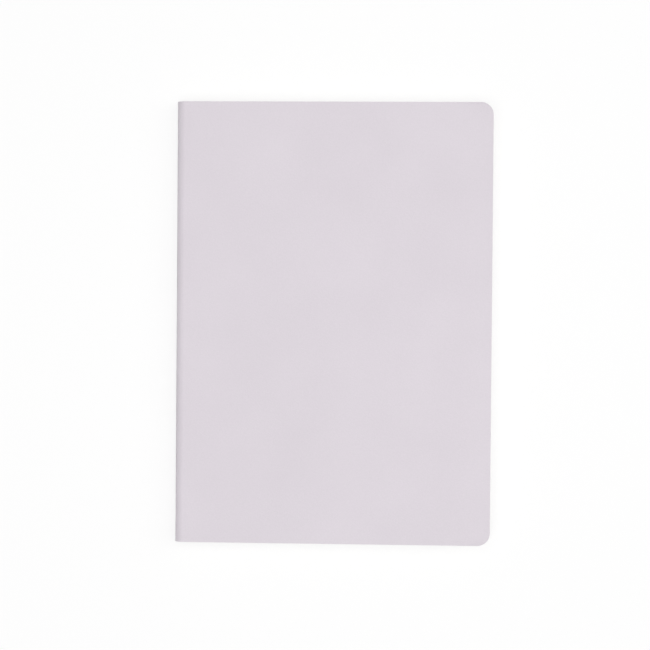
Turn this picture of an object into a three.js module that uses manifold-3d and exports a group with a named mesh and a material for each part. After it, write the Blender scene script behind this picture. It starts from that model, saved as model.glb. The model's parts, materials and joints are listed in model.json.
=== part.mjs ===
// A softcover notebook, closed and lying on its back cover. Millimetres, +Z up. The origin is the
// middle of the footprint, on the surface that the notebook lies on. The spine faces -X, the fore-edge
// +X, the head +Y. The cover and the pages are cut flush, with round corners at the fore-edge.
//
// The notebook opens in two ways. The front half of the book swings round the outer face of the spine,
// at half its height, until both halves lie flat. The front cover swings round a crease beside the
// rounded edge of the spine.
import * as THREE from "three";
import { mergeVertices } from "three/addons/utils/BufferGeometryUtils.js";
import Module from "manifold-3d";

const wasm = await Module();
wasm.setup();

// Outline
const WIDTH = 150; // spine to fore-edge
const HEIGHT = 210; // head to tail
const CORNER_RADIUS = 6; // the two corners at the fore-edge
const SPINE_EDGE_RADIUS = 3; // the cover's bend from the spine to the front and the back

// Sheets
const COVER_THICKNESS = 0.6;
const ENDPAPER_THICKNESS = 0.145;
const LEAF_THICKNESS = 0.115;
const AIR = 0.015; // between two sheets that lie on each other
const LEAVES_PER_SECTION = 8; // four folded sheets, nested
const SECTION_COUNT = 9; // odd, so that the book opens flat inside its middle section

// Leaves that turn by themselves
const OPENING_LEAVES = 3; // behind the front flyleaf
const CENTRE_LEAVES = 2; // on each side of the middle fold

// Spine, from the cover inwards
const GAUZE_THICKNESS = 0.12;
const GLUE_THICKNESS = 0.4; // over the folds of the sections
const GLUE_DEPTH = 0.45; // how far the glue runs in between the folds
const SPINE_GAP = 0.02; // between two layers

// Sewing
const THREAD_DIAMETER = 0.24;
const THREAD_CLEARANCE = 0.03;
const STITCH_LENGTH = 24; // of thread inside a section, between two holes
const STITCH_PITCH = 48; // from stitch to stitch along the spine
const STITCH_COLUMNS = 4;

// Joints
const CREASE_MARGIN = 3; // from the end of the cover's bend to its crease
const CREASE_GAP = 0.02; // from the crease line to the edge of each piece beside it
const HALVES_GAP = 0.02; // between the front half and the back half
const LEAF_MARGIN = 0.25; // from the thread in the middle fold to the edge of a leaf that turns there

// Facets. An arc takes twice as many as its number says.
const BEND_SEGMENTS = 5;
const CORNER_SEGMENTS = 5;
const FOLD_SEGMENTS = 4;
const THREAD_SIDES = 6;

// Layers, from the surface that the notebook lies on
const LEAF_PITCH = LEAF_THICKNESS + AIR;
const ENDPAPER_PITCH = ENDPAPER_THICKNESS + AIR;
const SECTION_PITCH = LEAVES_PER_SECTION * LEAF_PITCH;
const BLOCK_BOTTOM = COVER_THICKNESS + 2 * ENDPAPER_PITCH;
const BLOCK_TOP = BLOCK_BOTTOM + SECTION_COUNT * SECTION_PITCH;
const TOP = BLOCK_TOP + BLOCK_BOTTOM;
const MIDDLE = TOP / 2;
const MIDDLE_SECTION = (SECTION_COUNT + 1) / 2;

// Places in the plan
const SPINE_X = -WIDTH / 2;
const FORE_EDGE_X = WIDTH / 2;
const HEAD_Y = HEIGHT / 2;
const BEND_X = SPINE_X + SPINE_EDGE_RADIUS;
const CREASE_X = BEND_X + CREASE_MARGIN;
const BEYOND = 1; // how far a cutting solid runs past what it cuts

// Depths from the outer face of the spine
const GAUZE_OUTER = COVER_THICKNESS + SPINE_GAP;
const GAUZE_INNER = GAUZE_OUTER + GAUZE_THICKNESS;
const GLUE_OUTER = GAUZE_INNER + SPINE_GAP;
const FOLD_DEPTH = GLUE_OUTER + GLUE_THICKNESS;

// The folds of a section are one half-round nose.
const FOLD_RADIUS = SECTION_PITCH / 2;
const THREAD_RADIUS = THREAD_DIAMETER / 2;
const CHANNEL_RADIUS = THREAD_RADIUS + THREAD_CLEARANCE;

const COVER_LOOK = { color: 0xded7de, roughness: 0.72, metalness: 0 };
const ENDPAPER_LOOK = { color: 0xe6e1e3, roughness: 0.85, metalness: 0 };
const PAGE_LOOK = { color: 0xf3f0e7, roughness: 0.9, metalness: 0 };
const THREAD_LOOK = { color: 0xefece4, roughness: 0.7, metalness: 0 };
const GLUE_LOOK = { color: 0xe2dccb, roughness: 0.5, metalness: 0 };
const GAUZE_LOOK = { color: 0xe9e5d8, roughness: 0.95, metalness: 0 };

// A closed geometry as a solid that can be joined and cut.
function solidOf(geometry) {
  const plain = geometry.clone();
  plain.deleteAttribute("normal");
  plain.deleteAttribute("uv");
  const merged = mergeVertices(plain, 1e-5);
  return new wasm.Manifold(
    new wasm.Mesh({
      numProp: 3,
      vertProperties: merged.attributes.position.array,
      triVerts: new Uint32Array(merged.index.array),
    }),
  );
}

function geometryOf(solid) {
  const { vertProperties, triVerts } = solid.getMesh();
  const indexed = new THREE.BufferGeometry();
  indexed.setAttribute("position", new THREE.BufferAttribute(new Float32Array(vertProperties), 3));
  indexed.setIndex(new THREE.BufferAttribute(new Uint32Array(triVerts), 1));
  const geometry = indexed.toNonIndexed();
  geometry.computeVertexNormals();
  return geometry;
}

function named(name, geometry, look) {
  const mesh = new THREE.Mesh(geometry, new THREE.MeshStandardMaterial(look));
  mesh.name = name;
  return mesh;
}

// A prism whose two faces lie at exactly the given heights, so that neighbours share one value.
function prism(outline, low, high, curveSegments) {
  const geometry = new THREE.ExtrudeGeometry(outline, { depth: 1, bevelEnabled: false, curveSegments });
  const position = geometry.getAttribute("position");
  for (let i = 0; i < position.count; i += 1) {
    position.setZ(i, position.getZ(i) > 0.5 ? high : low);
  }
  return geometry;
}

// A sheet between two heights, from a straight edge at x to the fore-edge with its round corners.
function sheet(x, low, high) {
  const straightY = HEAD_Y - CORNER_RADIUS;
  const straightX = FORE_EDGE_X - CORNER_RADIUS;
  const outline = new THREE.Shape();
  outline.moveTo(x, -HEAD_Y);
  outline.lineTo(straightX, -HEAD_Y);
  outline.absarc(straightX, -straightY, CORNER_RADIUS, -Math.PI / 2, 0);
  outline.lineTo(FORE_EDGE_X, straightY);
  outline.absarc(straightX, straightY, CORNER_RADIUS, 0, Math.PI / 2);
  outline.lineTo(x, HEAD_Y);
  outline.closePath();
  return prism(outline, low, high, CORNER_SEGMENTS);
}

// A profile in X and Z, the same from tail to head, and on past both by a given length.
function strip(profile, curveSegments, past = 0) {
  const geometry = prism(profile, -HEAD_Y - past, HEAD_Y + past, curveSegments);
  return geometry.rotateX(Math.PI / 2);
}

// A cutting block between two places in X and two heights.
function cutter(left, right, low, high) {
  const geometry = new THREE.BoxGeometry(right - left, HEIGHT + 2 * BEYOND, high - low);
  return solidOf(geometry.translate((left + right) / 2, 0, (low + high) / 2));
}

// The same piece in the other half of the book.
function inFrontHalf(geometry) {
  return geometry.clone().rotateX(Math.PI).translate(0, 0, TOP);
}

// A layer of the spine in the back half, between two depths from its outer face: down from the middle,
// and round the bend to the height endZ.
function spineLayer(outer, inner, endZ) {
  const outerRadius = SPINE_EDGE_RADIUS - outer;
  const innerRadius = SPINE_EDGE_RADIUS - inner;
  const endAngle = (radius) => Math.PI + Math.asin(Math.min(1, (SPINE_EDGE_RADIUS - endZ) / radius));
  const middleZ = MIDDLE - HALVES_GAP / 2;
  const profile = new THREE.Shape();
  profile.moveTo(SPINE_X + inner, middleZ);
  profile.lineTo(SPINE_X + outer, middleZ);
  profile.absarc(BEND_X, SPINE_EDGE_RADIUS, outerRadius, Math.PI, endAngle(outerRadius));
  profile.absarc(BEND_X, SPINE_EDGE_RADIUS, innerRadius, endAngle(innerRadius), Math.PI, true);
  profile.closePath();
  return strip(profile, BEND_SEGMENTS);
}

// The cover's spine part in the back half: half the spine, the bend, and the flat margin as far as the
// crease.
function spineCover() {
  const innerRadius = SPINE_EDGE_RADIUS - COVER_THICKNESS;
  const middleZ = MIDDLE - HALVES_GAP / 2;
  const profile = new THREE.Shape();
  profile.moveTo(SPINE_X + COVER_THICKNESS, middleZ);
  profile.lineTo(SPINE_X, middleZ);
  profile.absarc(BEND_X, SPINE_EDGE_RADIUS, SPINE_EDGE_RADIUS, Math.PI, 1.5 * Math.PI);
  profile.lineTo(CREASE_X - CREASE_GAP, 0);
  profile.lineTo(CREASE_X - CREASE_GAP, COVER_THICKNESS);
  profile.absarc(BEND_X, SPINE_EDGE_RADIUS, innerRadius, 1.5 * Math.PI, Math.PI, true);
  profile.closePath();
  return strip(profile, BEND_SEGMENTS);
}

// The folded edge of an endpaper sheet in the back half, held between the cover's margin and the first
// section.
function endpaperFold() {
  const low = COVER_THICKNESS + AIR / 2;
  const high = BLOCK_BOTTOM - AIR / 2;
  const radius = (high - low) / 2;
  const profile = new THREE.Shape();
  profile.moveTo(CREASE_X - CREASE_GAP, low);
  profile.lineTo(CREASE_X - CREASE_GAP, high);
  profile.absarc(BEND_X + radius, low + radius, radius, Math.PI / 2, 1.5 * Math.PI);
  profile.closePath();
  return strip(profile, FOLD_SEGMENTS);
}

// Sections are counted from the front cover, so section 1 is the top one of the closed notebook.
function sectionTop(number) {
  return BLOCK_TOP - (number - 1) * SECTION_PITCH;
}

function sectionMiddle(number) {
  return sectionTop(number) - SECTION_PITCH / 2;
}

// The folds lie against the glue: all in line where the spine is flat, and further in where it bends.
function foldX(number) {
  const middle = sectionMiddle(number);
  const intoBend = SPINE_EDGE_RADIUS - Math.min(middle, TOP - middle);
  if (intoBend <= 0) {
    return SPINE_X + FOLD_DEPTH;
  }
  // No thread passes outside the first and the last section, so there the glue is thin.
  const outermost = number === 1 || number === SECTION_COUNT;
  const depth = outermost ? GLUE_OUTER + 2 * THREAD_CLEARANCE : FOLD_DEPTH;
  const reach = SPINE_EDGE_RADIUS - depth - FOLD_RADIUS;
  return BEND_X - Math.sqrt(Math.max(0, reach * reach - intoBend * intoBend)) - FOLD_RADIUS;
}

// The round nose of a section and the stretch behind it, as tall as the section less the air, or taller
// by growth.
function sectionProfile(number, growth) {
  const radius = FOLD_RADIUS - AIR / 2 + growth;
  const middle = sectionMiddle(number);
  const right = FORE_EDGE_X + BEYOND;
  const profile = new THREE.Shape();
  profile.moveTo(right, middle - radius);
  profile.lineTo(right, middle + radius);
  profile.absarc(foldX(number) + FOLD_RADIUS, middle, radius, Math.PI / 2, 1.5 * Math.PI);
  profile.closePath();
  return solidOf(strip(profile, FOLD_SEGMENTS, BEYOND));
}

function sectionSolid(number) {
  const top = sectionTop(number);
  const outline = solidOf(sheet(foldX(number) - BEYOND, top - SECTION_PITCH - BEYOND, top + BEYOND));
  return sectionProfile(number, 0).intersect(outline);
}

// The two holes of a stitch column, the nearer the tail first.
function holesOf(column) {
  const middle = (column - (STITCH_COLUMNS + 1) / 2) * STITCH_PITCH;
  return [middle - STITCH_LENGTH / 2, middle + STITCH_LENGTH / 2];
}

function threadOutsideX(number) {
  return foldX(number) - THREAD_CLEARANCE - CHANNEL_RADIUS;
}

function threadInsideX(number) {
  return foldX(number) + FOLD_RADIUS + CHANNEL_RADIUS;
}

// The thread goes into a section at one hole, along its innermost fold, out at the other hole and up to
// the next section, which it passes through the other way.
function threadRoute(column, numbers) {
  const [tailHole, headHole] = holesOf(column);
  const points = [];
  for (const number of numbers) {
    const towardsHead = (SECTION_COUNT - number) % 2 === 0;
    const entry = towardsHead ? tailHole : headHole;
    const exit = towardsHead ? headHole : tailHole;
    const z = sectionMiddle(number);
    points.push(new THREE.Vector3(threadOutsideX(number), entry, z));
    points.push(new THREE.Vector3(threadInsideX(number), entry, z));
    points.push(new THREE.Vector3(threadInsideX(number), exit, z));
    points.push(new THREE.Vector3(threadOutsideX(number), exit, z));
  }
  return points;
}

// Section numbers from the lower one in the closed notebook to the upper one.
function sectionsUp(lower, upper) {
  return Array.from({ length: lower - upper + 1 }, (_, i) => lower - i);
}

// The back half's thread ends where it leaves the middle section. The front half's starts just above
// that end.
function backThreadRoute(column) {
  return threadRoute(column, sectionsUp(SECTION_COUNT, MIDDLE_SECTION));
}

function frontThreadRoute(column) {
  const route = threadRoute(column, sectionsUp(MIDDLE_SECTION - 1, 1));
  const start = route[0].clone();
  start.x = threadOutsideX(MIDDLE_SECTION);
  start.z = MIDDLE + CHANNEL_RADIUS;
  return [start, ...route];
}

// A tube through the points, mitred at each corner.
function tube(points, radius) {
  const ways = points.slice(1).map((point, i) => point.clone().sub(points[i]).normalize());
  const side = new THREE.Vector3(0, 1, 0).cross(ways[0]).normalize();
  const rings = points.map((point, i) => {
    const arriving = ways[Math.max(i - 1, 0)];
    const leaving = ways[Math.min(i, ways.length - 1)];
    const mitre = arriving.clone().add(leaving).normalize();
    const other = arriving.clone().cross(side);
    const ring = [];
    for (let k = 0; k < THREAD_SIDES; k += 1) {
      const angle = ((k + 0.5) * 2 * Math.PI) / THREAD_SIDES;
      const offset = side.clone().multiplyScalar(radius * Math.cos(angle));
      offset.addScaledVector(other, radius * Math.sin(angle));
      offset.addScaledVector(arriving, -offset.dot(mitre) / arriving.dot(mitre));
      ring.push(offset.add(point));
    }
    side.applyQuaternion(new THREE.Quaternion().setFromUnitVectors(arriving, leaving));
    return ring;
  });
  const corners = [];
  for (let i = 0; i + 1 < rings.length; i += 1) {
    for (let k = 0; k < THREAD_SIDES; k += 1) {
      const next = (k + 1) % THREAD_SIDES;
      corners.push(rings[i][k], rings[i][next], rings[i + 1][next]);
      corners.push(rings[i][k], rings[i + 1][next], rings[i + 1][k]);
    }
  }
  const [first, last] = [rings[0], rings[rings.length - 1]];
  for (let k = 1; k + 1 < THREAD_SIDES; k += 1) {
    corners.push(first[0], first[k + 1], first[k]);
    corners.push(last[0], last[k], last[k + 1]);
  }
  const geometry = new THREE.BufferGeometry().setFromPoints(corners);
  geometry.computeVertexNormals();
  return geometry;
}

// Every thread's channel, which the sections and the glue are cut by.
function allChannels() {
  const channels = [];
  for (let column = 1; column <= STITCH_COLUMNS; column += 1) {
    channels.push(solidOf(tube(backThreadRoute(column), CHANNEL_RADIUS)));
    channels.push(solidOf(tube(frontThreadRoute(column), CHANNEL_RADIUS)));
  }
  return channels.reduce((joined, channel) => joined.add(channel));
}

const channels = allChannels();
const backHalfSpace = cutter(SPINE_X, FORE_EDGE_X + BEYOND, 0, MIDDLE - HALVES_GAP / 2);
const frontHalfSpace = cutter(SPINE_X, FORE_EDGE_X + BEYOND, MIDDLE + HALVES_GAP / 2, TOP);

// The glue over the folds, which also fills the grooves between them.
function glue() {
  let solid = solidOf(spineLayer(GLUE_OUTER, FOLD_DEPTH + GLUE_DEPTH, BLOCK_BOTTOM));
  for (const number of sectionsUp(SECTION_COUNT, MIDDLE_SECTION)) {
    solid = solid.subtract(sectionProfile(number, SPINE_GAP));
  }
  return solid;
}

// One leaf of the stack that starts at the height base, counted upwards from 0.
function leaf(x, base, place) {
  const low = base + place * LEAF_PITCH + AIR / 2;
  return sheet(x, low, low + LEAF_THICKNESS);
}

function leafName(number) {
  return `leaf_${String(number).padStart(2, "0")}`;
}

const notebook = new THREE.Group();

// Cover, one sheet wrapped round the book, in pieces where it bends when the notebook opens
function addCover() {
  const panelX = CREASE_X + CREASE_GAP;
  notebook.add(named("back_cover", sheet(panelX, 0, COVER_THICKNESS), COVER_LOOK));
  notebook.add(named("spine_cover_back", spineCover(), COVER_LOOK));
  notebook.add(named("spine_cover_front", inFrontHalf(spineCover()), COVER_LOOK));
  notebook.add(named("front_cover", sheet(panelX, TOP - COVER_THICKNESS, TOP), COVER_LOOK));
}

// Endpapers, a folded sheet at each end: one leaf glued to the cover, the other free
function addEndpapers() {
  const x = CREASE_X + CREASE_GAP;
  const cell = (base) => sheet(x, base + AIR / 2, base + AIR / 2 + ENDPAPER_THICKNESS);
  notebook.add(named("back_pastedown", cell(COVER_THICKNESS), ENDPAPER_LOOK));
  notebook.add(named("back_flyleaf", cell(COVER_THICKNESS + ENDPAPER_PITCH), ENDPAPER_LOOK));
  notebook.add(named("back_endpaper_fold", endpaperFold(), ENDPAPER_LOOK));
  notebook.add(named("front_endpaper_fold", inFrontHalf(endpaperFold()), ENDPAPER_LOOK));
  notebook.add(named("front_flyleaf", cell(BLOCK_TOP), ENDPAPER_LOOK));
  notebook.add(named("front_pastedown", cell(BLOCK_TOP + ENDPAPER_PITCH), ENDPAPER_LOOK));
}

// Sections, less the leaves that turn by themselves
function addSections() {
  const right = FORE_EDGE_X + BEYOND;
  const openingStack = OPENING_LEAVES * LEAF_PITCH;
  const openingSpace = cutter(CREASE_X - CREASE_GAP, right, BLOCK_TOP - openingStack, BLOCK_TOP);
  const centreStack = CENTRE_LEAVES * LEAF_PITCH;
  const centreEdge = threadInsideX(MIDDLE_SECTION) + CHANNEL_RADIUS + LEAF_MARGIN;
  const centreSpace = cutter(centreEdge - CREASE_GAP, right, MIDDLE - centreStack, MIDDLE + centreStack);
  for (let number = 1; number <= SECTION_COUNT; number += 1) {
    const solid = sectionSolid(number).subtract(channels);
    if (number === MIDDLE_SECTION) {
      const open = solid.subtract(centreSpace);
      const frontPart = geometryOf(open.intersect(frontHalfSpace));
      const backPart = geometryOf(open.intersect(backHalfSpace));
      notebook.add(named(`section_${number}_front_half`, frontPart, PAGE_LOOK));
      notebook.add(named(`section_${number}_back_half`, backPart, PAGE_LOOK));
    } else {
      const whole = number === 1 ? solid.subtract(openingSpace) : solid;
      notebook.add(named(`section_${number}`, geometryOf(whole), PAGE_LOOK));
    }
  }
  for (let number = 1; number <= OPENING_LEAVES; number += 1) {
    const turned = leaf(CREASE_X + CREASE_GAP, BLOCK_TOP - openingStack, OPENING_LEAVES - number);
    notebook.add(named(leafName(number), turned, PAGE_LOOK));
  }
  const firstCentreLeaf = (SECTION_COUNT * LEAVES_PER_SECTION) / 2 - CENTRE_LEAVES + 1;
  for (let i = 0; i < 2 * CENTRE_LEAVES; i += 1) {
    const turned = leaf(centreEdge, MIDDLE - centreStack, 2 * CENTRE_LEAVES - 1 - i);
    notebook.add(named(leafName(firstCentreLeaf + i), turned, PAGE_LOOK));
  }
}

function addSewing() {
  for (let column = 1; column <= STITCH_COLUMNS; column += 1) {
    const back = tube(backThreadRoute(column), THREAD_RADIUS);
    const front = tube(frontThreadRoute(column), THREAD_RADIUS);
    notebook.add(named(`thread_${column}_back_half`, back, THREAD_LOOK));
    notebook.add(named(`thread_${column}_front_half`, front, THREAD_LOOK));
  }
}

function addSpineLayers() {
  const gauze = spineLayer(GAUZE_OUTER, GAUZE_INNER, BLOCK_BOTTOM);
  const backGlue = glue();
  const frontGlue = solidOf(inFrontHalf(geometryOf(backGlue)));
  notebook.add(named("glue_back_half", geometryOf(backGlue.subtract(channels)), GLUE_LOOK));
  notebook.add(named("glue_front_half", geometryOf(frontGlue.subtract(channels)), GLUE_LOOK));
  notebook.add(named("gauze_back_half", gauze, GAUZE_LOOK));
  notebook.add(named("gauze_front_half", inFrontHalf(gauze), GAUZE_LOOK));
}

addCover();
addEndpapers();
addSections();
addSewing();
addSpineLayers();

export default notebook;
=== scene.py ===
# %% [markdown]
# A softcover notebook, dressed round a imported model that already has the right sizes and joints. This
# lesson makes what the eye sees: a cover that is one sheet bent round the spine, every leaf as a folded
# sheet of its own, twisted sewing thread, and paper that looks like paper. It starts by loading the frame.
# The frame is kept, since the boxes of its pieces are read all through the lesson.

# %% Load the frame
import json
import math
import random

import bmesh
import bpy
from mathutils import Matrix, Vector


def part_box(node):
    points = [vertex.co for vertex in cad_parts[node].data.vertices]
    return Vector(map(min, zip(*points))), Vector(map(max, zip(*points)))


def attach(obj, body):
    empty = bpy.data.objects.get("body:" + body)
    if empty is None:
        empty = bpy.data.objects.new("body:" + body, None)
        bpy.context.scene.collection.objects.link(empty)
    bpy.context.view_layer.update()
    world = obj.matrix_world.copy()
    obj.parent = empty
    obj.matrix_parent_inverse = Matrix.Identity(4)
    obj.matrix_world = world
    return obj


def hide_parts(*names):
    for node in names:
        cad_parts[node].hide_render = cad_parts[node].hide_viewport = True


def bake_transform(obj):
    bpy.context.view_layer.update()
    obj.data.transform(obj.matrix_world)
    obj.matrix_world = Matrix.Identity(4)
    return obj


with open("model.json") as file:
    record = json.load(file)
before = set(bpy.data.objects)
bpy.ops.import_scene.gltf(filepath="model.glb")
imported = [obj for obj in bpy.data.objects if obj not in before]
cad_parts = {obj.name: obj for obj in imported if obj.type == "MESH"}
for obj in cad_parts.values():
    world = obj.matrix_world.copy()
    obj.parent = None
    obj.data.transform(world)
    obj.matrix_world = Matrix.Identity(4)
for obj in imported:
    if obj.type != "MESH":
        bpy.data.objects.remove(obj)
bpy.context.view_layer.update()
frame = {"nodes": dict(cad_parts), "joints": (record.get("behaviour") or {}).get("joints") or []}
MM = 0.001
SEED = 20
random.seed(SEED)

# %% [markdown]
# The frame gives the place of every piece as a box, in metres. Paper sizes read better in millimetres,
# so one helper turns a piece's box into a low and a high corner in millimetres. The sizes that the whole
# lesson needs are read from such boxes here, so the looks follow the frame if a size in it changes.

# %% Sizes from the frame
def box_mm(node):
    low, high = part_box(node)
    return Vector(low) / MM, Vector(high) / MM


cover_low, cover_high = box_mm("front_cover")
page_low, page_high = box_mm("leaf_01")
endpaper_low, endpaper_high = box_mm("front_flyleaf")
crease = next(joint for joint in frame["joints"] if joint["name"] == "front_cover_hinge")
SPINE_X = box_mm("spine_cover_front")[0].x
CREASE_X = crease["pos_m"][0] / MM
FORE_X = cover_high.x
HEAD_Y = cover_high.y
TOP = cover_high.z
MIDDLE = TOP / 2
COVER = TOP - cover_low.z
LEAF = page_high.z - page_low.z
LEAF_STEP = page_high.z - box_mm("leaf_02")[1].z
ENDPAPER = endpaper_high.z - endpaper_low.z
print(f"top {TOP:.2f}, cover {COVER:.2f}, crease at {CREASE_X:.2f}")
print(f"leaf {LEAF:.3f} every {LEAF_STEP:.3f}, endpaper {ENDPAPER:.3f}")

# %% [markdown]
# The photograph looks straight down on the closed notebook, from a little to the right of its middle.
# The place, tilt and focal length below put the edges of the cover within about half a pixel of where
# they are in the picture. A long lens from 0.7 m keeps the edges nearly parallel, as they are there.

# %% Camera
CAMERA_PLACE_MM = (21.70, 9.50, 700.0)
CAMERA_TILT_X = -0.0147
CAMERA_TILT_Y = 0.03725
CAMERA_ROLL = 0.00824
PICTURE_SIDE_PX = 650
FOCAL_PX = 1452.2
SENSOR_MM = 36.0
FARTHEST_SEEN = 100.0


def make_camera():
    data = bpy.data.cameras.new("camera")
    data.sensor_width = SENSOR_MM
    data.lens = FOCAL_PX * SENSOR_MM / PICTURE_SIDE_PX
    data.clip_end = FARTHEST_SEEN
    camera = bpy.data.objects.new("camera", data)
    place = Matrix.Translation(Vector(CAMERA_PLACE_MM) * MM)
    roll = Matrix.Rotation(CAMERA_ROLL, 4, "Z")
    tilt = Matrix.Rotation(CAMERA_TILT_X, 4, "X") @ Matrix.Rotation(CAMERA_TILT_Y, 4, "Y")
    camera.matrix_world = place @ roll @ tilt
    bpy.context.collection.objects.link(camera)
    bpy.context.scene.camera = camera
    print(f"camera with a lens of {data.lens:.1f} mm")


make_camera()

# %% [markdown]
# Every surface and the studio itself are drawn by nodes, so the few helpers for them come next. Blender
# computes light in linear numbers, while colours are picked as a screen shows them, so hex colours go
# through one function. Another adds a node: its settings first, because they decide which sockets the
# node has, then its inputs, which are either plain values or links from other nodes.

# %% Node helpers
def linear(hex_colour):
    channels = [int(hex_colour[i:i + 2], 16) / 255 for i in (1, 3, 5)]
    return [c / 12.92 if c <= 0.04045 else ((c + 0.055) / 1.055) ** 2.4 for c in channels] + [1.0]


def add(owner, kind, inputs=None, **settings):
    node = owner.node_tree.nodes.new("ShaderNode" + kind)
    for setting, value in settings.items():
        setattr(node, setting, value)
    for socket, value in (inputs or {}).items():
        if isinstance(value, bpy.types.NodeSocket):
            owner.node_tree.links.new(value, node.inputs[socket])
        else:
            node.inputs[socket].default_value = value
    return node


def emptied(owner):
    """The same material or world, ready to take nodes."""
    owner.use_nodes = True
    owner.node_tree.nodes.clear()
    return owner


print("a middle grey is", round(linear("#808080")[0], 3), "in linear light")

# %% [markdown]
# Light. The picture has almost no shadow: the light is soft and comes mostly from above, which is why the
# cover is one even tone and only its bent edge at the spine goes darker. An even white world gives about
# a fifth of the light. Where the camera looks past the floor it sees plain white instead, and that adds
# no light.

# %% World
WHITE = "#ffffff"
WORLD_STRENGTH = 0.22


def make_world():
    world = emptied(bpy.data.worlds.new("studio"))
    light = add(world, "Background", {"Color": linear(WHITE), "Strength": WORLD_STRENGTH})
    seen = add(world, "Background", {"Color": linear(WHITE), "Strength": 1.0})
    camera_ray = add(world, "LightPath").outputs["Is Camera Ray"]
    mix = add(world, "MixShader", {0: camera_ray, 1: light.outputs[0], 2: seen.outputs[0]})
    add(world, "OutputWorld", {"Surface": mix.outputs[0]})
    bpy.context.scene.world = world
    print("the world gives light of strength", WORLD_STRENGTH)


make_world()
bpy.context.scene.view_settings.view_transform = "Standard"

# %% [markdown]
# More than half of the light comes from a wide soft panel above. A larger one stands far off at the
# right, beyond the fore-edge, and leaves the spine edge darker, as it is in the picture. A weak one at
# the left of the tail evens the tone from end to end. Small lamps would draw hard shadows, and there are
# none. In all, a surface that faces up gets the amount of light at which its colour comes out as written.

# %% Light panels
PANELS = {
    "panel_above": {"place": (0.0, 0.0, 1.3), "side": 1.2, "power": 12.0},
    "panel_tail_left": {"place": (-0.8, -0.8, 1.6), "side": 0.9, "power": 2.5},
    "panel_right": {"place": (2.0, 0.4, 1.8), "side": 1.8, "power": 18.1},
}


def make_panel(name, place, side, power):
    data = bpy.data.lights.new(name, "AREA")
    data.size = side
    data.energy = power
    panel = bpy.data.objects.new(name, data)
    panel.location = place
    panel.rotation_euler = (-Vector(place)).to_track_quat("-Z", "Y").to_euler()
    bpy.context.collection.objects.link(panel)
    print(f"{name}: {side} m wide, {power} W")


for panel_name, panel in PANELS.items():
    make_panel(panel_name, **panel)

# %% [markdown]
# Patterns on a sheet that bends must bend with it. A pattern laid out in the object's own space would
# slide over the paper as the leaf turns. So each mesh stores, in an attribute named rest, where its
# points were while the notebook lay closed, and the patterns are laid out in that.
# Nearly every surface here is two close tones over a pattern, so that gets a helper, and so does the
# last step, which wires the inputs of a surface to its output. Pattern sizes are given in millimetres.
# Paper, coat and glue have an IOR near 1.5 and no metal in them, which is where the shader starts, so a
# material sets only what differs from that.

# %% Surface helpers
REST = "rest"
PATTERN_LOW, PATTERN_HIGH = 0.3, 0.7


def per_metre(size_mm):
    """How many cells of that size fit in a metre, which is what a pattern's scale means here."""
    return 1 / (size_mm * MM)


def two_tones(material, pattern, dark, light):
    """Two close colours over a pattern from 0 to 1, which seldom leaves the middle of that range."""
    middle = {"Value": pattern, "From Min": PATTERN_LOW, "From Max": PATTERN_HIGH}
    share = add(material, "MapRange", middle).outputs["Result"]
    tones = {"Factor": share, "A": linear(dark), "B": linear(light)}
    return add(material, "Mix", tones, data_type="RGBA").outputs["Result"]


def surface(material, inputs):
    shader = add(material, "BsdfPrincipled", inputs)
    add(material, "OutputMaterial", {"Surface": shader.outputs["BSDF"]})
    print("material:", material.name)
    return material


print(f"a pattern of 1 mm needs a scale of {per_metre(1.0):.0f}")

# %% [markdown]
# The cover. On a notebook like this it is a sheet of bonded fibre with a matte coat, pressed between
# smooth rollers. To the eye that is one even pale lilac grey without a highlight and, from near, a faint
# dry grain. A leather grain would be too coarse, and no texture at all would look like plastic film.
# The real grain is near a quarter of a millimetre, drawn here at 0.6 mm so that it still shows. A second
# noise, 30 mm wide, stands for the slight unevenness of the coat, and has only a small share.

# %% Cover surface
COVER_GRAIN_MM = 0.6
COVER_GRAIN_HEIGHT_MM = 0.036
COVER_CLOUD_MM = 30.0
GRAIN_SHARE = 0.6
SMOOTHEST, ROUGHEST = 0.6, 0.76


def make_coated_fibre():
    """Coated and rolled: one even tone, matte, with a dry fine grain."""
    material = emptied(bpy.data.materials.new("coated_fibre_pressed"))
    place = add(material, "Attribute", attribute_name=REST).outputs["Vector"]
    cloud = add(material, "TexNoise", {"Vector": place, "Scale": per_metre(COVER_CLOUD_MM), "Detail": 1.0})
    grain = add(material, "TexNoise", {"Vector": place, "Scale": per_metre(COVER_GRAIN_MM), "Detail": 3.0})
    grain = grain.outputs["Fac"]
    both = add(material, "Mix", {"Factor": GRAIN_SHARE, "A": cloud.outputs["Fac"], "B": grain})
    rough = add(material, "MapRange", {"Value": grain, "To Min": SMOOTHEST, "To Max": ROUGHEST})
    relief = add(material, "Bump", {"Height": grain, "Distance": COVER_GRAIN_HEIGHT_MM * MM})
    return surface(material, {
        "Base Color": two_tones(material, both.outputs["Result"], "#dbd4db", "#e1dae1"),
        "Roughness": rough.outputs["Result"],
        "Specular IOR Level": 0.35,
        "Normal": relief.outputs["Normal"],
    })


coated_fibre = make_coated_fibre()

# %% [markdown]
# Where the sheet of the cover is cut, its fibres stand open. The knife leaves them dull and mottled: the
# same colour, a little darker and rougher than the coat. Single fibres are finer than a render shows.
# They are drawn at 0.3 mm, so that the rim of 0.6 mm still has some variation across it.

# %% Cover rim
CORE_FIBRE_MM = 0.3
CORE_FIBRE_HEIGHT_MM = 0.025


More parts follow.
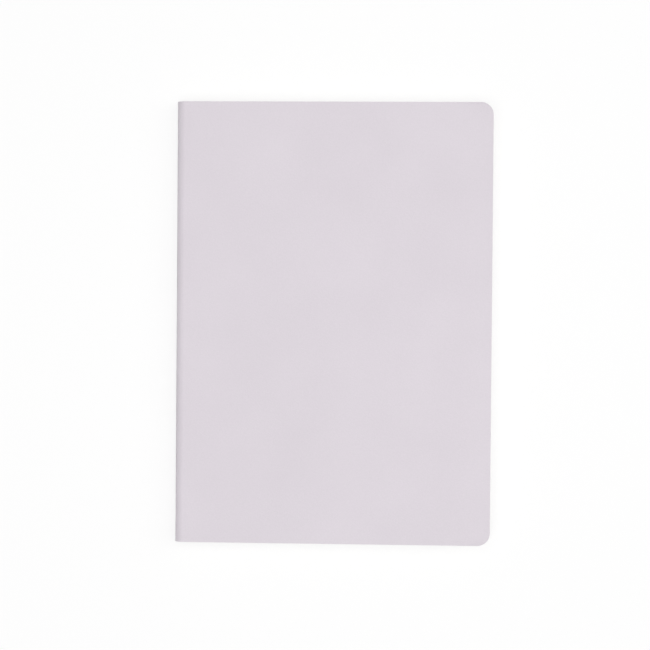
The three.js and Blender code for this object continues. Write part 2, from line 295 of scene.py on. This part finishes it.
def make_fibre_core():
    """Cut by the trimming knife: open fibres, dull and mottled."""
    material = emptied(bpy.data.materials.new("bonded_fibre_cut"))
    place = add(material, "Attribute", attribute_name=REST).outputs["Vector"]
    fibre = add(material, "TexNoise", {"Vector": place, "Scale": per_metre(CORE_FIBRE_MM), "Detail": 4.0})
    fibre = fibre.outputs["Fac"]
    relief = add(material, "Bump", {"Height": fibre, "Distance": CORE_FIBRE_HEIGHT_MM * MM})
    return surface(material, {
        "Base Color": two_tones(material, fibre, "#cfc8cf", "#e2dce1"),
        "Roughness": 0.9,
        "Normal": relief.outputs["Normal"],
    })


fibre_core = make_fibre_core()

# %% [markdown]
# The paper. Writing paper is felted fibre, rolled smooth but not coated: warm white, fully matte, with
# a mottle about a millimetre wide when light falls across it. The pages carry plain ruling 7 mm apart,
# which is printed before the sheets are cut, so it runs out to the edges. The lines are drawn by
# arithmetic on the height of a point on the page, which keeps them sharp at any distance.

# %% Paper materials
FIBRE_MM = 1.1
FIBRE_HEIGHT_MM = 0.004
RULING_MM = 7.0
RULE_WIDTH_MM = 0.25
RULING_TOP_MM = 17.0
RULE_HEX = "#c4bfc9"


def ruled_lines(material, place):
    """1 on a printed line and 0 beside it, with none in the top margin."""
    y = add(material, "SeparateXYZ", {"Vector": place}).outputs["Y"]
    start = (HEAD_Y - RULING_TOP_MM + RULE_WIDTH_MM / 2) * MM
    down = add(material, "Math", {0: start, 1: y}, operation="SUBTRACT").outputs["Value"]
    within = add(material, "Math", {0: down, 1: RULING_MM * MM}, operation="MODULO").outputs["Value"]
    on_line = add(material, "Math", {0: within, 1: RULE_WIDTH_MM * MM}, operation="LESS_THAN")
    below_margin = add(material, "Math", {0: down, 1: 0.0}, operation="GREATER_THAN")
    both = {0: on_line.outputs["Value"], 1: below_margin.outputs["Value"]}
    return add(material, "Math", both, operation="MULTIPLY").outputs["Value"]


def make_paper(name, tones, ruled=False):
    """Rolled but not coated: fully matte, softly mottled, never shiny."""
    material = emptied(bpy.data.materials.new(name))
    place = add(material, "Attribute", attribute_name=REST).outputs["Vector"]
    mottle = add(material, "TexNoise", {"Vector": place, "Scale": per_metre(FIBRE_MM), "Detail": 4.0})
    mottle = mottle.outputs["Fac"]
    colour = two_tones(material, mottle, *tones)
    if ruled:
        lines = {"Factor": ruled_lines(material, place), "A": colour, "B": linear(RULE_HEX)}
        colour = add(material, "Mix", lines, data_type="RGBA").outputs["Result"]
    relief = add(material, "Bump", {"Height": mottle, "Distance": FIBRE_HEIGHT_MM * MM})
    return surface(material, {
        "Base Color": colour,
        "Roughness": 0.9,
        "Specular IOR Level": 0.25,
        "Normal": relief.outputs["Normal"],
    })


ruled_paper = make_paper("writing_paper_ruled", ("#f1ede6", "#f6f3ed"), ruled=True)
plain_paper = make_paper("endpaper_uncoated", ("#e2dde0", "#e8e4e6"))
cut_endpaper = make_paper("endpaper_cut", ("#d8d3d6", "#e4dfe2"))

# %% [markdown]
# The cut edges of a book aren't a white slab. Each leaf ends a hair before or behind the next and takes
# the light in its own way, so the fore-edge looks like fine layers. The layers themselves will be real
# sheets. Their material adds the rest: a tone that hardly changes along a leaf, but changes from one
# leaf to the next, which a noise does when its space is stretched until one leaf is one unit high.

# %% Cut edge material
ALONG_LEAF_MM = 250.0
LEAF_TO_LEAF = 0.8


def make_cut_paper():
    """Cut in a stack: matte layers, no two quite alike."""
    material = emptied(bpy.data.materials.new("writing_paper_cut"))
    place = add(material, "Attribute", attribute_name=REST).outputs["Vector"]
    stretch = (per_metre(ALONG_LEAF_MM), per_metre(ALONG_LEAF_MM), per_metre(LEAF_STEP))
    layered = add(material, "Mapping", {"Vector": place, "Scale": stretch}).outputs["Vector"]
    tone = add(material, "TexNoise", {"Vector": layered, "Scale": LEAF_TO_LEAF, "Detail": 3.0})
    return surface(material, {
        "Base Color": two_tones(material, tone.outputs["Fac"], "#e2ddd4", "#f5f2ec"),
        "Roughness": 0.95,
        "Specular IOR Level": 0.2,
    })


cut_paper = make_cut_paper()

# %% [markdown]
# What holds the book together shows only at the ends of the spine and in the middle fold, but there it
# tells how the book is made. The sections are sewn with off-white polyester thread. It is spun from fine
# fibres and twisted, so it has a soft fuzz, which the eye sees as a weak sheen along its edges. The
# fibres are too fine for a render and are drawn at 0.12 mm. Polyester bends light more than paper does.

# %% Thread surface
THREAD_FUZZ_MM = 0.12
THREAD_FUZZ_HEIGHT_MM = 0.008


def make_sewing_thread():
    """Spun from fine fibres: softly fuzzy, with a weak sheen along its edges."""
    material = emptied(bpy.data.materials.new("sewing_thread_twisted"))
    place = add(material, "Attribute", attribute_name=REST).outputs["Vector"]
    fuzz = add(material, "TexNoise", {"Vector": place, "Scale": per_metre(THREAD_FUZZ_MM), "Detail": 3.0})
    fuzz = fuzz.outputs["Fac"]
    relief = add(material, "Bump", {"Height": fuzz, "Distance": THREAD_FUZZ_HEIGHT_MM * MM})
    return surface(material, {
        "Base Color": two_tones(material, fuzz, "#dcd8cc", "#f2efe6"),
        "Roughness": 0.65,
        "IOR": 1.57,
        "Sheen Weight": 0.2,
        "Normal": relief.outputs["Normal"],
    })


sewing_thread = make_sewing_thread()

# %% [markdown]
# Under the spine of the cover lies a strip of cotton gauze. It is unbleached and loosely woven, with a
# thread about every millimetre. Two waves at right angles make the weave, since one alone would be a row
# of parallel threads. A wave pattern makes 20 bands in 2 pi of its units, so its scale is worked out
# from that.

# %% Gauze surface
GAUZE_THREAD_MM = 0.9
GAUZE_HEIGHT_MM = 0.06
WAVE_BANDS = 20 / (2 * math.pi)


def make_gauze():
    """Loosely woven: a grid of raised threads, dull and unbleached."""
    material = emptied(bpy.data.materials.new("cotton_gauze_woven"))
    place = add(material, "TexCoord").outputs["Object"]
    scale = per_metre(GAUZE_THREAD_MM) / WAVE_BANDS
    along = add(material, "TexWave", {"Vector": place, "Scale": scale}, bands_direction="Y")
    across = add(material, "TexWave", {"Vector": place, "Scale": scale}, bands_direction="Z")
    threads = {0: along.outputs["Fac"], 1: across.outputs["Fac"]}
    weave = add(material, "Math", threads, operation="MAXIMUM").outputs["Value"]
    relief = add(material, "Bump", {"Height": weave, "Distance": GAUZE_HEIGHT_MM * MM})
    return surface(material, {
        "Base Color": two_tones(material, weave, "#cfc9b8", "#efebdf"),
        "Roughness": 0.95,
        "Normal": relief.outputs["Normal"],
    })


gauze = make_gauze()

# %% [markdown]
# White glue was brushed over the folds of the sections and dried to a cream-coloured skin. It follows
# what lies under it, so it is slightly lumpy, and it is the only surface here with a soft gloss.

# %% Glue surface
GLUE_LUMP_MM = 1.5
GLUE_LUMP_HEIGHT_MM = 0.04


def make_dried_glue():
    """Brushed on and dried: cream, slightly lumpy, with a soft gloss."""
    material = emptied(bpy.data.materials.new("white_glue_dried"))
    place = add(material, "TexCoord").outputs["Object"]
    lumps = add(material, "TexNoise", {"Vector": place, "Scale": per_metre(GLUE_LUMP_MM), "Detail": 2.0})
    lumps = lumps.outputs["Fac"]
    relief = add(material, "Bump", {"Height": lumps, "Distance": GLUE_LUMP_HEIGHT_MM * MM})
    return surface(material, {
        "Base Color": two_tones(material, lumps, "#dcd5c2", "#e8e2d2"),
        "Roughness": 0.4,
        "IOR": 1.47,
        "Normal": relief.outputs["Normal"],
    })


dried_glue = make_dried_glue()

# %% [markdown]
# Every sheet here is the same kind of thing: a thin band that follows a path in the X-Z plane, as long
# as the book is high, with two round corners at the fore-edge. So one builder can make them all, from
# the two faces of the sheet as two paths, repeated in rows from tail to head. In the rows that cross a
# round corner the fore-edge is drawn in, and the points before it move in with it.

# %% The outline's rows
CORNER_MM = 6.0
CORNER_ROWS = 9
TRIM_FROM_X = -55.0


def outline_rows(inset=0.0, straight_rows=7):
    """Pairs of a row's y and the x where the sheet ends there, from tail to head."""
    radius = CORNER_MM - inset
    reach = HEAD_Y - CORNER_MM
    corner = []
    for i in range(CORNER_ROWS + 1):
        angle = math.pi / 2 * i / CORNER_ROWS
        corner.append((reach + radius * math.sin(angle), FORE_X - CORNER_MM + radius * math.cos(angle)))
    between = 2 * reach / (straight_rows + 1)
    straight = [(-reach + between * i, FORE_X - inset) for i in range(1, straight_rows + 1)]
    return [(-y, x) for y, x in reversed(corner)] + straight + corner


def trimmed(x, end_x):
    """Where a point at x goes in a row that ends at end_x instead of at the fore-edge."""
    if x <= TRIM_FROM_X:
        return x
    return TRIM_FROM_X + (x - TRIM_FROM_X) * (end_x - TRIM_FROM_X) / (FORE_X - TRIM_FROM_X)


print("a sheet has", len(outline_rows()), "rows")

# %% [markdown]
# A mesh is finished in three steps. The cut rims get a fine bevel, because a perfectly sharp edge never
# catches light. The modifier is applied at once, so that the points are final. Then the faces are shaded
# smooth, except over edges of more than 35 degrees. Last, the place of every point is stored for the
# patterns.

# %% Finishing a mesh
SMOOTH_UNDER_DEG = 35


def soften(piece, width_mm):
    bevel = piece.modifiers.new("knife_edge", "BEVEL")
    bevel.width = width_mm * MM
    bevel.segments = 2
    bevel.limit_method = "WEIGHT"
    bpy.context.view_layer.update()
    evaluated = piece.evaluated_get(bpy.context.evaluated_depsgraph_get())
    bevelled = bpy.data.meshes.new_from_object(evaluated)
    piece.modifiers.clear()
    piece.data = bevelled


def finished(name, mesh, materials, bevel_mm=0.0):
    bmesh.ops.recalc_face_normals(mesh, faces=mesh.faces)
    data = bpy.data.meshes.new(name)
    mesh.to_mesh(data)
    mesh.free()
    for material in materials:
        data.materials.append(material)
    piece = bpy.data.objects.new(name, data)
    bpy.context.collection.objects.link(piece)
    if bevel_mm:
        soften(piece, bevel_mm)
    for polygon in piece.data.polygons:
        polygon.use_smooth = True
    piece.data.set_sharp_from_angle(angle=math.radians(SMOOTH_UNDER_DEG))
    rest = piece.data.attributes.new(REST, "FLOAT_VECTOR", "POINT")
    rest.data.foreach_set("vector", [value for vertex in piece.data.vertices for value in vertex.co])
    return piece


# %% [markdown]
# The builder of sheets works in bmesh. The faces of a sheet take the piece's first material and the
# rims the second. Rims that the trimming knife really cut are marked, so that the bevel softens those
# and leaves alone the ones where a piece of the model only goes on into the next.
# One piece can hold many sheets, which is how a whole section will be made.

# %% The sheet builder
class Sheets:
    def __init__(self, name):
        self.name = name
        self.mesh = bmesh.new()
        self.knife = self.mesh.edges.layers.float.new("bevel_weight_edge")

    def band(self, upper, lower, rows, knife_ends=(False, False)):
        """Add a sheet between two paths of (x, z) in mm. knife_ends says which of its ends are cut."""
        grid = []
        for y, end_x in rows:
            grid.append([[self.mesh.verts.new((trimmed(x, end_x) * MM, y * MM, z * MM)) for x, z in path]
                         for path in (upper, lower)])
        last = len(upper) - 1
        for row, following in zip(grid, grid[1:]):
            for here, there in zip(row, following):
                for i in range(last):
                    self.face((here[i], here[i + 1], there[i + 1], there[i]), 0)
            for i, is_cut in ((0, knife_ends[0]), (last, knife_ends[1])):
                self.face((row[0][i], row[1][i], following[1][i], following[0][i]), 1)
                if is_cut:
                    self.mark((row[0][i], following[0][i]), (row[1][i], following[1][i]))
        for upper_row, lower_row in (grid[0], grid[-1]):
            for i in range(last):
                self.face((upper_row[i], upper_row[i + 1], lower_row[i + 1], lower_row[i]), 1)
                self.mark((upper_row[i], upper_row[i + 1]), (lower_row[i], lower_row[i + 1]))

    def face(self, corners, slot):
        self.mesh.faces.new(corners).material_index = slot

    def mark(self, *edges):
        for ends in edges:
            self.mesh.edges.get(ends)[self.knife] = 1.0

    def finished(self, materials, bevel_mm=0.0):
        return finished(self.name, self.mesh, materials, bevel_mm)


# %% [markdown]
# The cover is one sheet that goes from the back panel round the spine to the front panel. It could be a
# single mesh, but it bends at two places when the notebook opens: in the middle of the spine, and at the
# crease of the front cover. A piece can bend between two bodies only. So the sheet is made as three
# pieces that meet on the flat of the spine, where a seam runs through one even surface and doesn't show.
# At the middle of the spine the sheet folds sharply, so no points lie within the fold. At the crease it
# rolls over in a curve, so there the points are close together.
# Where the sheet bends round the spine it doesn't follow a circle. The shade in the photograph shows that
# it leaves the flat of the cover gently and turns faster towards the spine, so the bend is a quarter of
# an ellipse, wider than it is high. The inner face leaves the flat nearer to the spine than the outer
# one, so the sheet is a little thinner there, as a sheet is that was pressed round a block of paper.

# %% Cover paths
CREASE_TO_BEND = 3.0
BEND_HEIGHT = CREASE_X - CREASE_TO_BEND - SPINE_X
OUTER_BEND_REACH = 4.0
INNER_BEND_REACH = 3.2
BEND_STEPS = 14
SEAM_Z = 4.2
SPINE_FOLD_Z = MIDDLE - 0.3
CREASE_ROLL = (CREASE_X - 0.4, CREASE_X + 1.6)
CREASE_STEPS = 12
PANEL_X = [-62.0, TRIM_FROM_X, -30.0, 0.0, 30.0, 60.0, FORE_X]


def columns_over(roll, steps):
    start, end = roll
    return [start + (end - start) * i / steps for i in range(steps + 1)]


def wrapped_path(depth, reach):
    """From the seam on the spine round the bend to the fore-edge, that deep under the outer face."""
    across, up = reach - depth, BEND_HEIGHT - depth
    path = [(SPINE_X + depth, SEAM_Z)]
    for i in range(BEND_STEPS + 1):
        angle = math.pi / 2 * i / BEND_STEPS
        path.append((SPINE_X + reach - across * math.cos(angle), BEND_HEIGHT - up * math.sin(angle)))
    return path + [(x, depth) for x in columns_over(CREASE_ROLL, CREASE_STEPS) + PANEL_X]


def turned_up(path):
    """The same path in the front half of the book."""
    return [(x, TOP - z) for x, z in path]


outer_path = wrapped_path(0.0, OUTER_BEND_REACH)
inner_path = wrapped_path(COVER, INNER_BEND_REACH)
print(f"the bend at the spine is {OUTER_BEND_REACH} mm wide and {BEND_HEIGHT:.1f} mm high")

# %% [markdown]
# The back of the cover just rides on the back half. The other pieces go through one of two short
# helpers: one for pieces that lie across the crease, one for pieces that fold at the middle height of
# the book. Each helper only bakes the piece's place into its points.

# %% Cover pieces
KNIFE_BEVEL_MM = 0.06
COVER_MATERIALS = (coated_fibre, fibre_core)


def roll_over(piece):
    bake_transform(piece)


def fold_in_middle(piece):
    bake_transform(piece)


def make_cover_back():
    cover = Sheets("cover_back")
    cover.band(outer_path, inner_path, outline_rows(), knife_ends=(False, True))
    piece = cover.finished(COVER_MATERIALS, KNIFE_BEVEL_MM)
    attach(piece, "back_half")
    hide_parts("back_cover", "spine_cover_back")
    return piece


def make_cover_spine():
    heights = [SEAM_Z, SPINE_FOLD_Z, TOP - SPINE_FOLD_Z, TOP - SEAM_Z]
    outer = [(SPINE_X, z) for z in heights]
    inner = [(SPINE_X + COVER, z) for z in heights]
    cover = Sheets("cover_spine")
    cover.band(outer, inner, outline_rows())
    piece = cover.finished(COVER_MATERIALS, KNIFE_BEVEL_MM)
    fold_in_middle(piece)
    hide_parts("spine_cover_front")
    return piece


def make_cover_front():
    cover = Sheets("cover_front")
    cover.band(turned_up(outer_path), turned_up(inner_path), outline_rows(), knife_ends=(False, True))
    piece = cover.finished(COVER_MATERIALS, KNIFE_BEVEL_MM)
    roll_over(piece)
    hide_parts("front_cover")
    return piece


for cover_piece in (make_cover_back(), make_cover_spine(), make_cover_front()):
    print(cover_piece.name, "has", len(cover_piece.data.polygons), "faces")

# %% [markdown]
# Endpapers. Each is a sheet folded once. One leaf is pasted to the inside of the cover, the other is the
# flyleaf, and the fold sits in the joint between the cover and the first section. At the back nothing
# moves apart, so one folded band does. At the front the pasted leaf goes with the cover while the flyleaf
# turns by itself. So that band is parted just behind the fold, where both ends lie still, and the
# flyleaf is made with the other turning leaves.

# %% Endpapers
NOSE_STEPS = 6
ENDPAPER_INSET = 0.05
ENDPAPER_MATERIALS = (plain_paper, cut_endpaper)
FLYLEAF_ROLL = (CREASE_X - 0.3, CREASE_X + 4.2)
WHOLE_LEAF = [TRIM_FROM_X, FORE_X]


def folded_path(centre, radius, end_columns, start_columns, gap_deg=0.0):
    """In along start_columns, round a half-round nose, and out again along end_columns above them."""
    x, z = centre
    half = math.radians(180 - gap_deg) / 2
    angles = [half * i / NOSE_STEPS for i in range(NOSE_STEPS + 1)]
    below = [(x - radius * math.sin(angle), z - radius * math.cos(angle)) for angle in angles]
    above = [(x - radius * math.sin(angle), z + radius * math.cos(angle)) for angle in reversed(angles)]
    if not gap_deg:
        above = above[1:]
    start = [(x, z - radius) for x in start_columns]
    return start + below + above + [(x, z + radius) for x in end_columns]


def make_endpaper(name, node, end_columns, start_columns, knife_ends):
    low, high = box_mm(node)
    radius = (high.z - low.z) / 2
    centre = (low.x + radius, low.z + radius)
    faces = [folded_path(centre, r, end_columns, start_columns) for r in (radius, radius - ENDPAPER)]
    endpaper = Sheets(name)
    endpaper.band(*faces, outline_rows(ENDPAPER_INSET), knife_ends)
    piece = endpaper.finished(ENDPAPER_MATERIALS)
    print(name, "has", len(piece.data.polygons), "faces")
    return piece


endpaper_back = make_endpaper("endpaper_back", "back_endpaper_fold", WHOLE_LEAF, WHOLE_LEAF[::-1],
                              knife_ends=(True, True))
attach(endpaper_back, "back_half")
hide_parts("back_pastedown", "back_flyleaf", "back_endpaper_fold")

creased_leaf = columns_over(CREASE_ROLL, CREASE_STEPS) + PANEL_X
endpaper_front = make_endpaper("endpaper_front_pasted", "front_endpaper_fold", creased_leaf,
                               FLYLEAF_ROLL[:1], knife_ends=(False, True))
roll_over(endpaper_front)
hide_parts("front_pastedown", "front_endpaper_fold")

# %% [markdown]
# A leaf that turns by itself starts beside the fold or the crease and runs to the fore-edge. Real paper
# doesn't hinge on a line: it rises out of the gutter in a curve. So the leaf has close rows of points
# over some millimetres beside the gutter, few at the front, where the leaves turn far over, and many in
# the middle of the book, where they only lift.

# %% Turning leaves
TURNING_STEPS = 18
CENTRE_ROLL_MM = 38.0
CENTRE_STEPS = 14
CENTRE_LEAF_X = box_mm("leaf_37")[0].x
CENTRE_ROLL = (CENTRE_LEAF_X + 0.3, CENTRE_LEAF_X + CENTRE_ROLL_MM)
WIDE_X = PANEL_X[1:]
CENTRE_WIDE_X = PANEL_X[3:]
FLYLEAF_INSET = 0.04
LEAST_TRIMMED, MOST_TRIMMED = 0.02, 0.09
PAGE_MATERIALS = (ruled_paper, cut_paper)


def trim_error():
    """How far short of the cover's edge the knife left a leaf, in mm."""
    return random.uniform(LEAST_TRIMMED, MOST_TRIMMED)


def make_leaf(name, node, columns, materials, inset):
    low, high = box_mm(node)
    faces = [[(x, z) for x in columns] for z in (high.z, low.z)]
    leaf = Sheets(name)
    leaf.band(*faces, outline_rows(inset), knife_ends=(False, True))
    piece = leaf.finished(materials)
    roll_over(piece)
    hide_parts(node)
    return piece


opening_columns = columns_over(FLYLEAF_ROLL, TURNING_STEPS) + WIDE_X
flyleaf = make_leaf("flyleaf_front", "front_flyleaf", opening_columns,
                    ENDPAPER_MATERIALS, FLYLEAF_INSET)
for number in (1, 2, 3):
    make_leaf(f"page_leaf_0{number}", f"leaf_0{number}", opening_columns,
                           PAGE_MATERIALS, trim_error())
centre_columns = columns_over((CENTRE_LEAF_X, CENTRE_ROLL[1]), CENTRE_STEPS) + CENTRE_WIDE_X
for number in (35, 36, 37, 38):
    half = "front_half" if number <= 36 else "back_half"
    make_leaf(f"page_leaf_{number}", f"leaf_{number}", centre_columns,
                           PAGE_MATERIALS, trim_error())

# %% [markdown]
# Sections. A section is four sheets folded together, so its cut edges show eight leaves, and its back a
# stack of folds inside each other. Solid blocks with painted lines would do for a far view. Folding
# every sheet costs little more and holds up from near, at the ends of the spine most of all. Trimming is
# never perfect either: each sheet ends a few hundredths of a millimetre from the next.
# The first section leaves out the leaves that turn by themselves. In the middle section the folds cross
# from one half of the book to the other, so their paths have no points at the middle height itself.

# %% Section shapes
SECTIONS = 9
MIDDLE_SECTION = 5
SECTION_SHEETS = 4
LEAVES_OUT = 3
SHEETS_IN_GUTTER = 2
MIDDLE_GAP_DEG = 16.0


def section_place(number):
    """The x of a section's fold, its middle height, and half its height."""
    if number == MIDDLE_SECTION:
        low, high = box_mm("section_5_back_half")[0], box_mm("section_5_front_half")[1]
    else:
        low, high = box_mm(f"section_{number}")
    height = high.z - low.z
    if number == 1:
        height = 2 * SECTION_SHEETS * LEAF_STEP - (LEAF_STEP - LEAF)
    return low.x, low.z + height / 2, height / 2


def leaf_ends(number, sheet):
    """Where the upper and the lower leaf of a sheet end, as the columns of their paths."""
    if number == MIDDLE_SECTION and sheet >= SECTION_SHEETS - SHEETS_IN_GUTTER:
        return [CENTRE_LEAF_X], [CENTRE_LEAF_X]
    if number == 1 and sheet < LEAVES_OUT:
        return FLYLEAF_ROLL[:1], WHOLE_LEAF[::-1]
    return WHOLE_LEAF, WHOLE_LEAF[::-1]


print("folds at x =", [round(section_place(number)[0], 2) for number in range(1, SECTIONS + 1)])

# %% [markdown]
# Each sheet of a section is one folded band, made by the same builder as the cover. The innermost sheet
# has the tightest fold. All the sheets of a section go into one piece, because they never part.

# %% Sections
def make_section(number):
    fold_x, middle_z, radius = section_place(number)
    centre = (fold_x + radius, middle_z)
    gap_deg = MIDDLE_GAP_DEG if number == MIDDLE_SECTION else 0.0
    section = Sheets(f"section_{number}_sheets")
    for sheet in range(SECTION_SHEETS):
        outer = radius - sheet * LEAF_STEP
        upper, lower = leaf_ends(number, sheet)
        faces = [folded_path(centre, r, upper, lower, gap_deg) for r in (outer, outer - LEAF)]
        rows = outline_rows(trim_error(), straight_rows=1)
        section.band(*faces, rows, knife_ends=(len(lower) > 1, len(upper) > 1))
    return section.finished(PAGE_MATERIALS)


for number in range(1, SECTIONS + 1):
    section = make_section(number)
    if number == MIDDLE_SECTION:
        fold_in_middle(section)
        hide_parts("section_5_back_half", "section_5_front_half")
    else:
        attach(section, "front_half" if number < MIDDLE_SECTION else "back_half")
        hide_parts(f"section_{number}")
    print(section.name, "has", len(section.data.polygons), "faces")

# %% [markdown]
# Thread. Each of the four threads runs in and out of the sections: a stitch inside each fold, and a step
# up the back to the next one. The frame tells the route. The thread's box gives its two holes, and each
# section's box its fold. At every section the thread changes direction, so it goes in by the tail hole
# in the odd ones and by the head hole in the even ones.

# %% Thread routes
THREAD_MM = 0.24
OUTSIDE_FOLD = 0.18
INSIDE_FOLD = 0.67
THREAD_STEP_MM = 0.3
START_ABOVE_CUT = 0.01


def thread_route(column, half):
    low, high = box_mm(f"thread_{column}_{half}_half")
    tail, head = low.y + THREAD_MM / 2, high.y - THREAD_MM / 2
    first, past_last = (SECTIONS, MIDDLE_SECTION - 1) if half == "back" else (MIDDLE_SECTION - 1, 0)
    route = []
    for number in range(first, past_last, -1):
        fold_x, middle_z, _ = section_place(number)
        outside, inside = fold_x - OUTSIDE_FOLD, fold_x + INSIDE_FOLD
        entry, leaving = (tail, head) if number % 2 else (head, tail)
        corners = ((outside, entry), (inside, entry), (inside, leaving), (outside, leaving))
        route += [Vector((x, y, middle_z)) for x, y in corners]
    if half == "front":
        start = section_place(MIDDLE_SECTION)[0] - OUTSIDE_FOLD
        route.insert(0, Vector((start, route[0].y, low.z + START_ABOVE_CUT)))
    return route


def walked(route):
    """Points at an even pace along the route, and one at each of its corners."""
    points = [route[0]]
    for here, there in zip(route, route[1:]):
        steps = max(1, round((there - here).length / THREAD_STEP_MM))
        points += [here.lerp(there, i / steps) for i in range(1, steps + 1)]
    return points


print("a back thread passes", len(thread_route(1, "back")), "corners")

# %% [markdown]
# Sewing thread is strands twisted together. A smooth tube would look like wire. Two ready ways would be
# a curve with a profile, or separate strands wound round each other. One tube is enough at this size if
# its section has a waist and turns as it goes, so that its silhouette shows the twist. The section's
# direction is carried along from point to point, which keeps the tube from spinning at the corners.

# %% Threads
TWIST_MM = 1.1
THREAD_SIDES = 10
WAIST = 0.3


def thread_ring(mesh, point, side, other, turned):
    ring = []
    for i in range(THREAD_SIDES):
        angle = 2 * math.pi * i / THREAD_SIDES
        radius = THREAD_MM / 2 * (1 - WAIST * math.sin(angle) ** 2)
        offset = side * (radius * math.cos(angle + turned)) + other * (radius * math.sin(angle + turned))
        ring.append(mesh.verts.new((point + offset) * MM))
    return ring


def make_thread(name, points):
    mesh = bmesh.new()
    rings = []
    before = (points[1] - points[0]).normalized()
    side = before.orthogonal().normalized()
    walked_mm = 0.0
    for i, point in enumerate(points):
        previous, following = points[max(i - 1, 0)], points[min(i + 1, len(points) - 1)]
        along = (following - previous).normalized()
        side = before.rotation_difference(along) @ side
        before = along
        walked_mm += (point - previous).length
        turned = 2 * math.pi * walked_mm / TWIST_MM
        rings.append(thread_ring(mesh, point, side, along.cross(side).normalized(), turned))
    for ring, following in zip(rings, rings[1:]):
        for i in range(THREAD_SIDES):
            j = (i + 1) % THREAD_SIDES
            mesh.faces.new((ring[i], ring[j], following[j], following[i]))
    mesh.faces.new(rings[0])
    mesh.faces.new(rings[-1])
    print(f"{name} is {walked_mm:.0f} mm long")
    return finished(name, mesh, (sewing_thread,))


for column in (1, 2, 3, 4):
    for half in ("back", "front"):
        thread = make_thread(f"sewing_{column}_{half}", walked(thread_route(column, half)))
        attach(thread, f"{half}_half")
        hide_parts(f"thread_{column}_{half}_half")

# %% [markdown]
# The gauze and the glue keep the shapes that the frame gives them. They lie between the sections and the
# cover, so only their ends show, and those are right as they are. They just get their finish.

# %% Spine layers
for layer, finish in (("gauze", gauze), ("glue", dried_glue)):
    for half in ("back", "front"):
        shape = frame["nodes"][f"{layer}_{half}_half"]
        shape.data.materials.clear()
        shape.data.materials.append(finish)
        print(shape.name, "is finished as", finish.name)

# %% [markdown]
# The floor is a plain white sweep. In the photograph it is pure white, with only a breath of shadow
# beside the book. A floor lit by the lamps alone would go grey there, so for the camera part of its
# whiteness is its own, and the rest takes the shadow. Farther away, where the lamps don't reach, all of
# it is its own. This adds no light to the book, because only rays from the camera see it.

# %% Floor
FLOOR_SIDE = 8.0
FLOOR_OWN_WHITE = 0.72
FLOOR_NEAR, FLOOR_FAR = 0.3, 1.2


def make_floor_paper():
    """Seamless studio paper: matte white."""
    material = emptied(bpy.data.materials.new("studio_paper"))
    place = add(material, "TexCoord").outputs["Object"]
    away = add(material, "VectorMath", {0: place}, operation="LENGTH").outputs["Value"]
    reach = {"Value": away, "From Min": FLOOR_NEAR, "From Max": FLOOR_FAR, "To Min": FLOOR_OWN_WHITE}
    own = add(material, "MapRange", reach).outputs["Result"]
    camera_ray = add(material, "LightPath").outputs["Is Camera Ray"]
    share = add(material, "Math", {0: camera_ray, 1: own}, operation="MULTIPLY").outputs["Value"]
    lit = add(material, "BsdfDiffuse", {"Color": linear(WHITE)})
    white = add(material, "Emission", {"Color": linear(WHITE), "Strength": 1.0})
    mix = add(material, "MixShader", {0: share, 1: lit.outputs[0], 2: white.outputs[0]})
    add(material, "OutputMaterial", {"Surface": mix.outputs[0]})
    return material


def make_floor():
    mesh = bmesh.new()
    bmesh.ops.create_grid(mesh, x_segments=1, y_segments=1, size=FLOOR_SIDE / 2)
    data = bpy.data.meshes.new("floor")
    mesh.to_mesh(data)
    mesh.free()
    data.materials.append(make_floor_paper())
    floor = bpy.data.objects.new("floor", data)
    bpy.context.collection.objects.link(floor)
    print(f"floor {FLOOR_SIDE} m wide")


make_floor()
